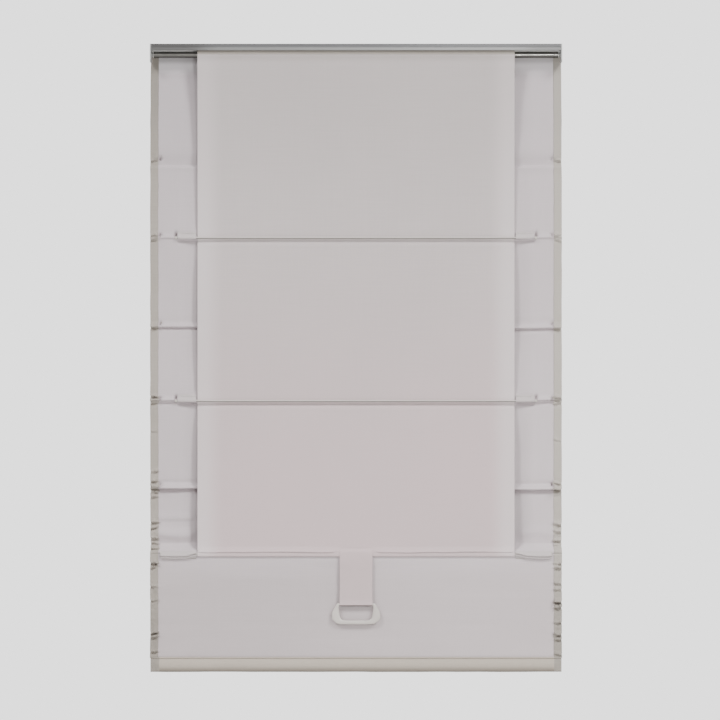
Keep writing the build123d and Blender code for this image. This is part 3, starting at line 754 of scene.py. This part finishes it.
o = main_section("cloth_header", TOP_Z, FOLD_Z, "head", None)
o = main_section("cloth_upper", FOLD_Z, ROD_A, "head", keep_1)
o = main_section("cloth_middle", ROD_A, ROD_B, "upper_rod", keep_2)
o = main_section("cloth_lower", ROD_B, BAT_Z, "middle_rod", keep_3)
SKIRT_LOW = POCKET_Z + 17.5
o = main_section("cloth_skirt", BAT_Z, SKIRT_LOW, "lift", None)
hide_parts("main_fabric")

# ---- bottom pocket --------------------------------------------------------
ring = [
    (-13.2, 17.5), (-12.9, 15.8), (-11.6, 13.6), (-10.6, 11.2), (-10.15, 8), (-10.05, 3), (-10.05, -4),
    (-10.1, -10), (-10.4, -13), (-11.0, -15), (-12.0, -16.3), (-13.4, -16.75), (-14.9, -16.3), (-16.3, -15),
    (-17.7, -12.6), (-18.9, -9.0), (-19.8, -5), (-20.3, 0), (-20.1, 4), (-19.0, 7.6), (-17.2, 10.6),
    (-16.3, 12.4), (-15.4, 14.2), (-14.2, 15.4), (-14.5, 16.1), (-15.8, 16.4), (-16.9, 17.0), (-16.8, 18.2),
    (-15.6, 19.6),
]


def dense(points, n):
    """The line through the points, divided evenly into n pieces, rounded at its corners."""
    p = np.array(points, float)
    s = np.r_[0, np.cumsum(np.linalg.norm(np.diff(p, axis=0), axis=1))]
    u = np.linspace(0, s[-1], n + 1)
    q = np.stack([np.interp(u, s, p[:, k]) for k in range(p.shape[1])], 1)
    for _ in range(2):
        q[1:-1] = q[1:-1] * 0.5 + (q[:-2] + q[2:]) * 0.25
    return q


prof = dense(ring, 84)
xs = np.concatenate([[-498.6, -497.9, -496, -492, -487, -483, -480.6], np.linspace(-477, 477, 150), [480.6, 483, 487, 492, 496, 497.9, 498.6]])
P = np.zeros((len(prof), len(xs), 3))
front = (prof[:, 0] < -13.4)[:, None]
depth = np.clip((17.5 - prof[:, 1]) / 8, 0, 1)[:, None]
P[..., 0] = xs[None]
closing = 1 - S(498.6 - np.abs(xs), 0, 22)
P[..., 1] = prof[:, 0][:, None] + depth * 0.25 * noise2(xs[None] / 45.0, prof[:, 1][:, None] / 9.0, 71)
P[..., 1] = np.where(P[..., 1] < -16.3, P[..., 1] * (1 - closing[None]) - 16.3 * closing[None], P[..., 1])
P[..., 2] = POCKET_Z + prof[:, 1][:, None] + 0.35 * noise1(xs / 50.0, 72)[None] * (prof[:, 1] < 14)[:, None]
bottom_pocket = thin(
    "bottom_pocket", P, [M_BASE, M_CLOTH, M_FACE], plus=0, minus=1, edge=0,
    paint=lambda P: np.where((np.abs(P[..., 0]) > 480) | (P[..., 1] > -12.4), 2, -1),
)
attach(bottom_pocket, "lift")

seam = stitches(
    "pocket_seam",
    [((x, -17.1, POCKET_Z + 17.7), (x + 2.3, -17.1, POCKET_Z + 17.7)) for x in np.arange(-478, 475.6, 3.0)],
    (0, -1, 0),
)
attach(seam, "lift")

# ---- centre panel ---------------------------------------------------------
def lap(x, z):
    """0 above the panel's lower end and 1 at it, but for the place that the tab covers."""
    ax = np.abs(x)
    tuck = S(ax, 42, 47) * S(PANEL_HALF - ax + 1, 0, 6)
    return tuck * np.clip(1 - (z - HEM_TOP) / 11.0, 0, 1) ** 1.6


def panel_y(x, z):
    x, z = np.broadcast_arrays(np.asarray(x, float), np.asarray(z, float))
    ax = np.abs(x)
    free = (1 - pinned(z)) * S(-z, 30, 90)
    y = -14.18 + 0.0 * x
    y = y + S(ax, 322, PANEL_HALF) * (0.15 + 2.6 * free)
    middle = 1 - S(ax, 250, 384)
    bow = span(z, ROLL_Z - 20, ROD_A, -230) * 1.2 + span(z, ROD_A, ROD_B, -650) * 1.6 + span(z, ROD_B, BAT_Z, -1060) * 1.5
    y = y - bow * middle * free
    y = y + 3.0 * ridge(z, ROD_A - 5.8, 2.4, 7) + 4.4 * ridge(z, ROD_B - 6.2, 2.4, 8)
    y = y - 6.0 * lap(x, z)
    y = y + 1.5 * S(-z, 26, 34) * ridge(z, -41.5, 8, 4)
    # the last turn of the roll is loose, so the cloth leaves it a little forward
    y = y - 3.9 * (1 - S(-z, 25, 340))
    y = y + free * (0.35 * noise2(x / 170.0, z / 120.0, 81) + 0.12 * noise2(x / 60.0, z / 60.0, 82))
    return y


px_half = [384.75, 383.6, 381, 377, 372, 366, 360, 353, 346, 339, 332, 324, 315, 305, 294, 282, 270, 255, 240, 225, 210, 195, 180, 165, 150, 135, 120, 105, 90, 75, 60, 45, 30, 15]
PX = np.array([-v for v in px_half] + [0.0] + [v for v in reversed(px_half)])
for part, z_top, z_low, body, up_top, up_low, held_by in (
    ("panel_upper", ROLL_Z, ROD_A, "head", 0.0, UP_A, "panel_roll"),
    ("panel_middle", ROD_A, ROD_B, "upper_rod", UP_A, UP_B, "rod_a"),
    ("panel_lower", ROD_B, HEM_TOP, "middle_rod", UP_B, UP, "rod_b"),
):
    pz = rows_between(z_top, z_low, [ROD_A, ROD_B], step=7.0, fine=2.0, reach=24)
    if z_low == HEM_TOP:
        pz = np.unique(np.concatenate([
            pz[pz > HEM_TOP + 22], np.arange(HEM_TOP + 22, HEM_TOP + 6, -1.6),
            np.arange(HEM_TOP + 6, HEM_TOP + 0.3, -0.6), [HEM_TOP],
        ]))[::-1]
    P = np.zeros((len(pz), len(PX), 3))
    P[..., 0] = PX[None]
    P[..., 1] = panel_y(PX[None], pz[:, None])
    P[..., 2] = pz[:, None] - (3.6 + 0.8 * noise1(PX / 44.0, 97)[None] + 0.5 * noise1(PX / 130.0, 98)[None]) * lap(PX[None], pz[:, None])
    panel = thin(part, P, [M_PANEL, M_FACE], plus=1, minus=0, edge=0)
    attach(panel, body)
    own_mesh(panel)

# the panel's hem, round the batten: down behind it, under it, up in front, and back to the panel
hem_prof = dense([
    (-14.18, 7.5), (-14.16, 4), (-14.1, -2), (-14.2, -5.2), (-14.9, -6.35), (-16.0, -6.6), (-17.1, -6.35),
    (-17.75, -5.2), (-17.95, -2), (-17.95, 2), (-17.85, 4.4), (-17.4, 5.6), (-16.3, 6.4), (-15.3, 6.9),
    (-14.9, 7.3),
], 56)
hx = PX
P = np.zeros((len(hem_prof), len(hx), 3))
wav = noise1(hx / 38.0, 91)[None] * 0.6 + noise1(hx / 120.0, 92)[None] * 0.5
in_front = S(-hem_prof[:, 0], 15.0, 17.0)[:, None]
P[..., 0] = hx[None]
P[..., 1] = hem_prof[:, 0][:, None] - in_front * (0.25 + 0.25 * noise1(hx / 55.0, 93)[None])
P[..., 2] = BAT_Z + hem_prof[:, 1][:, None] + in_front * wav * (S(hem_prof[:, 1], -6.8, -3) * (1 - S(hem_prof[:, 1], 3, 6)))[:, None]
hem = thin("panel_hem", P, [M_PANEL, M_FACE], plus=0, minus=1, edge=0)
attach(hem, "lift")
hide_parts("centre_panel")

# ---- the turns left on the tube -------------------------------------------
turns = []
r_in, r_out = 8.32, 15.2
count = 8
for k in range(count * 40 + 1):
    u = k / (count * 40)
    turns.append((r_in + (r_out - r_in) * u, 2 * math.pi * count * u))
last = turns[-1][1]
for k in range(1, 41):
    u = k / 40
    turns.append((r_out + (18.0 - r_out) * (u**1.2), last + 2 * math.pi * u))
end_angle = turns[-1][1]
# the cloth comes off the front going down, so the outer end faces the room and the turns run back over the top
T = np.array(turns)
ang = math.pi + (end_angle - T[:, 1]) * -1
Y = T[:, 0] * np.cos(ang)
Z = T[:, 0] * np.sin(ang)
rx = np.concatenate([[-384.75, -384.0, -381], np.linspace(-374, 374, 24), [381, 384.0, 384.75]])
P = np.zeros((len(T), len(rx), 3))
P[..., 0] = rx[None] + (0.35 * noise1(T[:, 1] / 2.1, 95)[:, None]) * S(np.abs(rx), 376, 384)[None]
P[..., 1] = Y[:, None]
P[..., 2] = ROLL_Z + Z[:, None]
roll = thin("panel_turns", P, [M_PANEL, M_FACE], plus=0, minus=1, edge=0, t=0.5)
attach(roll, "roller")
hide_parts("panel_roll")


# ---- rod pockets ----------------------------------------------------------
def rod_pocket(name, node, z, side, body, seed):
    r = 3.1
    pts = [(-14.05, 14.9), (-14.1, 10), (-14.14, 5), (-14.18, 1.5)]
    for a in range(0, -226, -15):
        pts.append((ROD_Y + r * math.cos(math.radians(a)), r * math.sin(math.radians(a))))
    pts += [(-18.0, 4.6), (-16.4, 6.6), (-15.3, 8.4), (-15.2, 10.0), (-15.7, 12.0), (-15.5, 13.4), (-14.75, 14.9)]
    q = dense(pts, 52)
    xs = np.concatenate([[388.0, 388.6], np.linspace(391, 430, 14), [432.4, 433.0]]) * side
    if side < 0:
        xs = xs[::-1]
    P = np.zeros((len(q), len(xs), 3))
    slope = np.exp(-(((q[:, 1] - 10.0) / 4.5) ** 2)) * (q[:, 0] < -14.5)
    P[..., 0] = xs[None] + 0.5 * noise1(q[:, 1] / 5.0, seed)[:, None] * S(np.abs(xs), 425, 433)[None]
    P[..., 1] = q[:, 0][:, None] - slope[:, None] * (0.2 + 0.4 * noise1(xs / 9.0, seed + 1)[None])
    mouth = (q[:, 0] < -14.5)[:, None] * np.exp(-(((q[:, 1] - 4.5) / 6.0) ** 2))[:, None] * S(np.abs(xs), 421, 433)[None]
    P[..., 1] -= 2.6 * mouth
    P[..., 2] = z + q[:, 1][:, None] + 0.3 * noise1(xs / 12.0, seed + 2)[None] * (np.abs(q[:, 1]) > 5)[:, None]
    o = thin(name, P, [M_SEWN, M_FACE], plus=0, minus=1, edge=0, t=0.55)
    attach(o, body)
    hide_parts(node)
    s = stitches(
        name + "_seam",
        [((side * x, -16.0, z + 12.0), (side * (x + 2.1), -16.0, z + 12.0)) for x in np.arange(389.5, 430.5, 2.8)],
        (0, -1, 0),
        radius=0.2,
    )
    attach(s, body)
    return o


rod_pocket("upper_pocket_left", "rod_a_pocket_left", ROD_A, -1, "upper_rod", 101)
rod_pocket("upper_pocket_right", "rod_a_pocket_right", ROD_A, 1, "upper_rod", 111)
rod_pocket("middle_pocket_left", "rod_b_pocket_left", ROD_B, -1, "middle_rod", 121)
rod_pocket("middle_pocket_right", "rod_b_pocket_right", ROD_B, 1, "middle_rod", 131)


# ---- pockets for the batten's ends ----------------------------------------
def batten_pocket(name, node, side, seed):
    pts = [
        (-14.08, -12.2), (-14.1, -6), (-14.1, 0), (-14.15, 4.2), (-14.7, 5.7), (-15.6, 6.15), (-16.4, 6.15),
        (-17.3, 5.8), (-18.4, 4.6), (-19.8, 2.5), (-21.6, 0), (-22.4, -1.8), (-21.4, -3.0), (-17.4, -3.4), (-17.0, -4.6),
        (-18.4, -6.0), (-19.6, -7.6), (-18.6, -8.7), (-15.4, -8.8), (-14.8, -9.6), (-14.75, -12.2),
    ]
    q = dense(pts, 72)
    xs = np.concatenate([[388.0, 388.6], np.linspace(391, 471, 34), [473.4, 474.0]]) * side
    if side < 0:
        xs = xs[::-1]
    ax = np.abs(xs)
    P = np.zeros((len(q), len(xs), 3))
    face = S(-q[:, 0], 15.2, 17.4)[:, None]
    lower = S(-q[:, 1], -1, 3)[:, None]
    rise = (1 - S(ax, 389, 418))[None]
    P[..., 0] = xs[None]
    P[..., 1] = q[:, 0][:, None] - face * (0.35 * noise1(xs / 17.0, seed)[None] + 0.35)
    P[..., 2] = BAT_Z + q[:, 1][:, None] + lower * face * (4.6 * rise + 0.8 * noise1(xs / 17.0, seed + 1)[None] - 0.3) - face * 2.4 * (1 - rise)
    P[..., 2] += (1 - face) * (q[:, 0] < -14.4)[:, None] * lower * (2.0 * rise - 0.9 * S(ax, 415, 440)[None] * (1 - S(ax, 455, 472)[None]))
    o = thin(name, P, [M_SEWN, M_FACE], plus=1, minus=0, edge=0, t=0.55)
    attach(o, "lift")
    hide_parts(node)
    s = stitches(
        name + "_seam",
        [((side * x, -15.1, BAT_Z - 10.6), (side * (x + 2.1), -15.1, BAT_Z - 10.6)) for x in np.arange(420, 470, 2.8)],
        (0, -1, 0),
        radius=0.2,
    )
    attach(s, "lift")
    return o


batten_pocket("batten_pocket_left", "lower_pocket_left", -1, 141)
batten_pocket("batten_pocket_right", "lower_pocket_right", 1, 151)

# ---- tab ------------------------------------------------------------------
tab_pts = [(-18.42, BAT_Z + 5.5), (-18.42, BAT_Z - 40), (-18.42, BAR_Z + 40), (-18.42, BAR_Z + 12), (-18.1, BAR_Z + 7.6), (-17.3, BAR_Z + 4.6)]
for a in range(45, -226, -15):
    tab_pts.append((BAR_Y + 3.6 * math.cos(math.radians(a)), BAR_Z + 3.6 * math.sin(math.radians(a))))
tab_pts += [
    (-20.3, BAR_Z + 5.0), (-19.5, BAR_Z + 8.5), (-19.1, BAR_Z + 12), (-19.04, BAR_Z + 40), (-19.02, BAT_Z - 40), (-19.02, BAT_Z + 4.5),
    (-18.4, BAT_Z + 7.0), (-16.8, BAT_Z + 8.8), (-15.5, BAT_Z + 10.6), (-15.2, BAT_Z + 13.5),
]
q = dense(tab_pts, 210)
tx = np.concatenate([[-40, -39.4, -38], np.linspace(-35, 35, 22), [38, 39.4, 40]])
P = np.zeros((len(q), len(tx), 3))
along = np.arange(len(q)) / (len(q) - 1)
free = (S(-q[:, 1], -(BAT_Z - 10), -(BAT_Z - 40)) * S(q[:, 1], BAR_Z + 8, BAR_Z + 40))[:, None]
cup = ((tx / 40.0) ** 2)[None] * 1.3
P[..., 0] = tx[None] * (1 - 0.012 * free)
P[..., 1] = q[:, 0][:, None] + free * (cup - 0.5 + 0.3 * noise2(tx[None] / 22.0, q[:, 1][:, None] / 24.0, 161))
P[..., 2] = q[:, 1][:, None]
tt = np.full((len(q), len(tx)), 0.55)
tt[-16:] = np.linspace(0.55, 0.15, 16)[:, None]
tab = thin("tab_strap", P, [M_PANEL, M_FACE], plus=0, minus=1, edge=0, t=tt)
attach(tab, "lift")
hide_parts("pull_tab")


# ---- pull handle ----------------------------------------------------------
# half of the loop, from an arm's top down to the middle: outer edge, inner edge, thickness share
half_loop = [
    ((43.6, 3.2), (42.6, 3.2), 0.30), ((45.4, 2.6), (41.7, 2.6), 0.72), ((47.6, 0.2), (41.4, 1.0), 0.94), ((50.0, -3.6), (41.4, -2.6), 1.0),
    ((53.2, -9.2), (41.5, -7.0), 1.0), ((56.6, -14.6), (41.5, -11.4), 1.0), ((58.6, -20.0), (41.1, -16.0), 1.0),
    ((59.0, -26.0), (40.6, -20.6), 1.0), ((58.8, -31.4), (39.9, -25.0), 1.0), ((57.2, -36.8), (38.8, -29.4), 1.0),
    ((53.4, -40.6), (37.0, -33.4), 1.0), ((49.2, -44.6), (34.0, -36.6), 1.0), ((43.6, -47.2), (29.8, -38.0), 0.98),
    ((34.0, -48.0), (22.0, -38.5), 0.94), ((17.0, -48.0), (11.0, -38.6), 0.9), ((0.0, -48.0), (0.0, -38.6), 0.88),
]
pairs = [((o[0], o[1]), (i[0], i[1]), t) for o, i, t in half_loop]
pairs += [((-o[0], o[1]), (-i[0], i[1]), t) for o, i, t in reversed(half_loop[:-1])]
flatp = np.array([[*o, *i, t] for o, i, t in pairs])
steps = np.r_[0, np.cumsum(np.linalg.norm(np.diff(flatp[:, :2], axis=0), axis=1) + 0.4)]
u = np.linspace(0, steps[-1], 150)
loop = np.stack([np.interp(u, steps, flatp[:, k]) for k in range(5)], 1)
for _ in range(3):
    loop[1:-1] = loop[1:-1] * 0.5 + (loop[:-2] + loop[2:]) * 0.25
ring_n = 28
verts, faces = [], []
for o1, o2, i1, i2, t in loop:
    c = np.array([(o1 + i1) / 2, BAR_Y, BAR_Z + (o2 + i2) / 2])
    w = np.array([(o1 - i1) / 2, 0, (o2 - i2) / 2])
    for k in range(ring_n):
        a = 2 * math.pi * k / ring_n
        ca, sa = math.cos(a), math.sin(a)
        verts.append(c + w * math.copysign(abs(ca) ** 0.72, ca) + np.array([0, 3.5 * t * math.copysign(abs(sa) ** 0.8, sa), 0]))
n_ring = len(loop)
for i in range(n_ring - 1):
    for k in range(ring_n):
        k1 = (k + 1) % ring_n
        faces.append([i * ring_n + k, i * ring_n + k1, (i + 1) * ring_n + k1, (i + 1) * ring_n + k])
faces.append([k for k in range(ring_n - 1, -1, -1)])
faces.append([(n_ring - 1) * ring_n + k for k in range(ring_n)])
# the round top bar, flared where it runs into the arms
base = len(verts)
bar_x = np.concatenate([[-44.5], np.linspace(-43.5, -36, 8), np.linspace(-30, 30, 9), np.linspace(36, 43.5, 8), [44.5]])
for x in bar_x:
    r = 2.95 + 0.35 * float(S(abs(x), 38.5, 43.5))
    for k in range(24):
        a = 2 * math.pi * k / 24
        verts.append(np.array([x, BAR_Y + r * math.cos(a), BAR_Z + (r if abs(x) < 44 else 2.0) * math.sin(a) * (1 - 0.12 * float(S(abs(x), 40, 44)))]))
for i in range(len(bar_x) - 1):
    for k in range(24):
        k1 = (k + 1) % 24
        faces.append([base + i * 24 + k, base + i * 24 + k1, base + (i + 1) * 24 + k1, base + (i + 1) * 24 + k])
faces.append([base + k for k in range(23, -1, -1)])
faces.append([base + (len(bar_x) - 1) * 24 + k for k in range(24)])


def turned_out(verts, faces):
    """The faces, each shell of them turned so that its volume is positive."""
    V = np.array(verts)
    vol = 0.0
    for f in faces:
        for k in range(1, len(f) - 1):
            vol += float(np.dot(V[f[0]], np.cross(V[f[k]], V[f[k + 1]])))
    return faces if vol > 0 else [f[::-1] for f in faces]


split_at = (n_ring - 1) * ring_n + 2
centre = np.array([0, BAR_Y, BAR_Z])
faces = turned_out([v - centre for v in verts], faces[:split_at]) + turned_out([v - centre for v in verts], faces[split_at:])
handle = new_object("handle_loop", verts, faces, [M_HANDLE])
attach(handle, "handle")
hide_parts("pull_handle")


# ---- touch-fastening tapes ------------------------------------------------
def tape_strip(name, node, y, t, seed):
    xs = np.concatenate([[-478, -477.4], np.linspace(-474, 474, 160), [477.4, 478]])
    zs = np.concatenate([[-3.0, -3.5], np.linspace(-5, -21, 11), [-22.5, -23.0]])
    P = np.zeros((len(zs), len(xs), 3))
    P[..., 0] = xs[None]
    P[..., 1] = y + 0.05 * noise2(xs[None] / 3.0, zs[:, None] / 3.0, seed)
    P[..., 2] = zs[:, None] + 0.15 * noise1(xs / 11.0, seed)[None] * (np.abs(zs + 13) > 9)[:, None]
    o = thin(name, P, [M_TAPE], plus=0, minus=0, edge=0, t=t)
    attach(o, "head")
    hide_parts(node)
    return o


tape_strip("hook_tape_strip", "hook_tape", 24.5, 0.9, 171)
tape_strip("loop_tape_strip", "loop_tape", 25.6, 1.0, 181)

# ---- camera, floor and light ----------------------------------------------
scene = bpy.context.scene
DIST = 9.0
cam_data = bpy.data.cameras.new("camera")
cam = bpy.data.objects.new("camera", cam_data)
scene.collection.objects.link(cam)
cam.location = (0.0097, -DIST, -0.7669)
cam.rotation_euler = (math.radians(90), 0, 0)
cam_data.sensor_width = 36.0
cam_data.lens = 36.0 * (DIST - 0.0145) / 1.747
cam_data.clip_end = 60.0
scene.camera = cam


def plain(name, a, b, rough):
    m, nt, sh, co = tree(name, rough=rough, specular=0.2)
    nt.links.new(mixed(nt, noise(nt, co, 1.5, 2.0), a, b), sh.inputs["Base Color"])
    return m


me = bpy.data.meshes.new("floor")
me.from_pydata([(-4, -4, -2.25), (4, -4, -2.25), (4, 3.2, -2.25), (-4, 3.2, -2.25)], [], [(0, 1, 2, 3)])
me.materials.append(plain("floor_pale", srgb(214, 213, 211), srgb(220, 219, 217), 0.8))
floor = bpy.data.objects.new("floor", me)
scene.collection.objects.link(floor)

world = bpy.data.worlds.new("studio")
scene.world = world
world.use_nodes = True
# a soft, plain dome of light: brightest behind the blind, and dimmer near the floor
wt = world.node_tree
sky = wt.nodes.new("ShaderNodeTexCoord")
parts = wt.nodes.new("ShaderNodeSeparateXYZ")
wt.links.new(sky.outputs["Generated"], parts.inputs[0])


def ramp(value, low, high, a, b):
    n = wt.nodes.new("ShaderNodeMapRange")
    n.interpolation_type = "SMOOTHSTEP"
    for key, v in (("From Min", low), ("From Max", high), ("To Min", a), ("To Max", b)):
        n.inputs[key].default_value = v
    wt.links.new(value, n.inputs["Value"])
    return n.outputs[0]


behind = ramp(parts.outputs[1], -0.05, 0.85, 0.44, 2.15)
above = ramp(parts.outputs[2], -0.75, -0.12, 0.36, 1.0)
wt.links.new(math_node(wt, "MULTIPLY", behind, above), wt.nodes["Background"].inputs[1])
wt.nodes["Background"].inputs[0].default_value = (1.0, 1.0, 1.0, 1)


def area(name, place, aim, size, power, colour=(1, 1, 1)):
    d = bpy.data.lights.new(name, "AREA")
    d.shape = "RECTANGLE"
    d.size, d.size_y = size
    d.energy = power
    d.color = colour
    o = bpy.data.objects.new(name, d)
    scene.collection.objects.link(o)
    o.location = place
    o.rotation_euler = (Vector(aim) - Vector(place)).to_track_quat("-Z", "Y").to_euler()
    return o


def sun(name, direction, strength, angle):
    d = bpy.data.lights.new(name, "SUN")
    d.energy = strength
    d.angle = math.radians(angle)
    o = bpy.data.objects.new(name, d)
    scene.collection.objects.link(o)
    o.rotation_euler = Vector(direction).to_track_quat("-Z", "Y").to_euler()
    return o


sun("key_left", (0.62, 0.66, -0.84), 1.98, 16)
sun("key_right", (-0.62, 0.66, -0.84), 2.31, 16)
area("front_right", (0.585, -3.2, -0.33), (0.43, 0, -0.03), (0.36, 0.06), 26)
area("fill_right", (2.2, -2.6, -0.6), (0.5, 0, -0.7), (0.8, 0.8), 13)
area("front_wide", (0.0, -3.4, -0.25), (0, 0, -0.4), (1.6, 0.3), 12)
area("back_soft", (0.0, 3.0, 0.9), (0, 0, -0.8), (2.0, 1.6), 30)
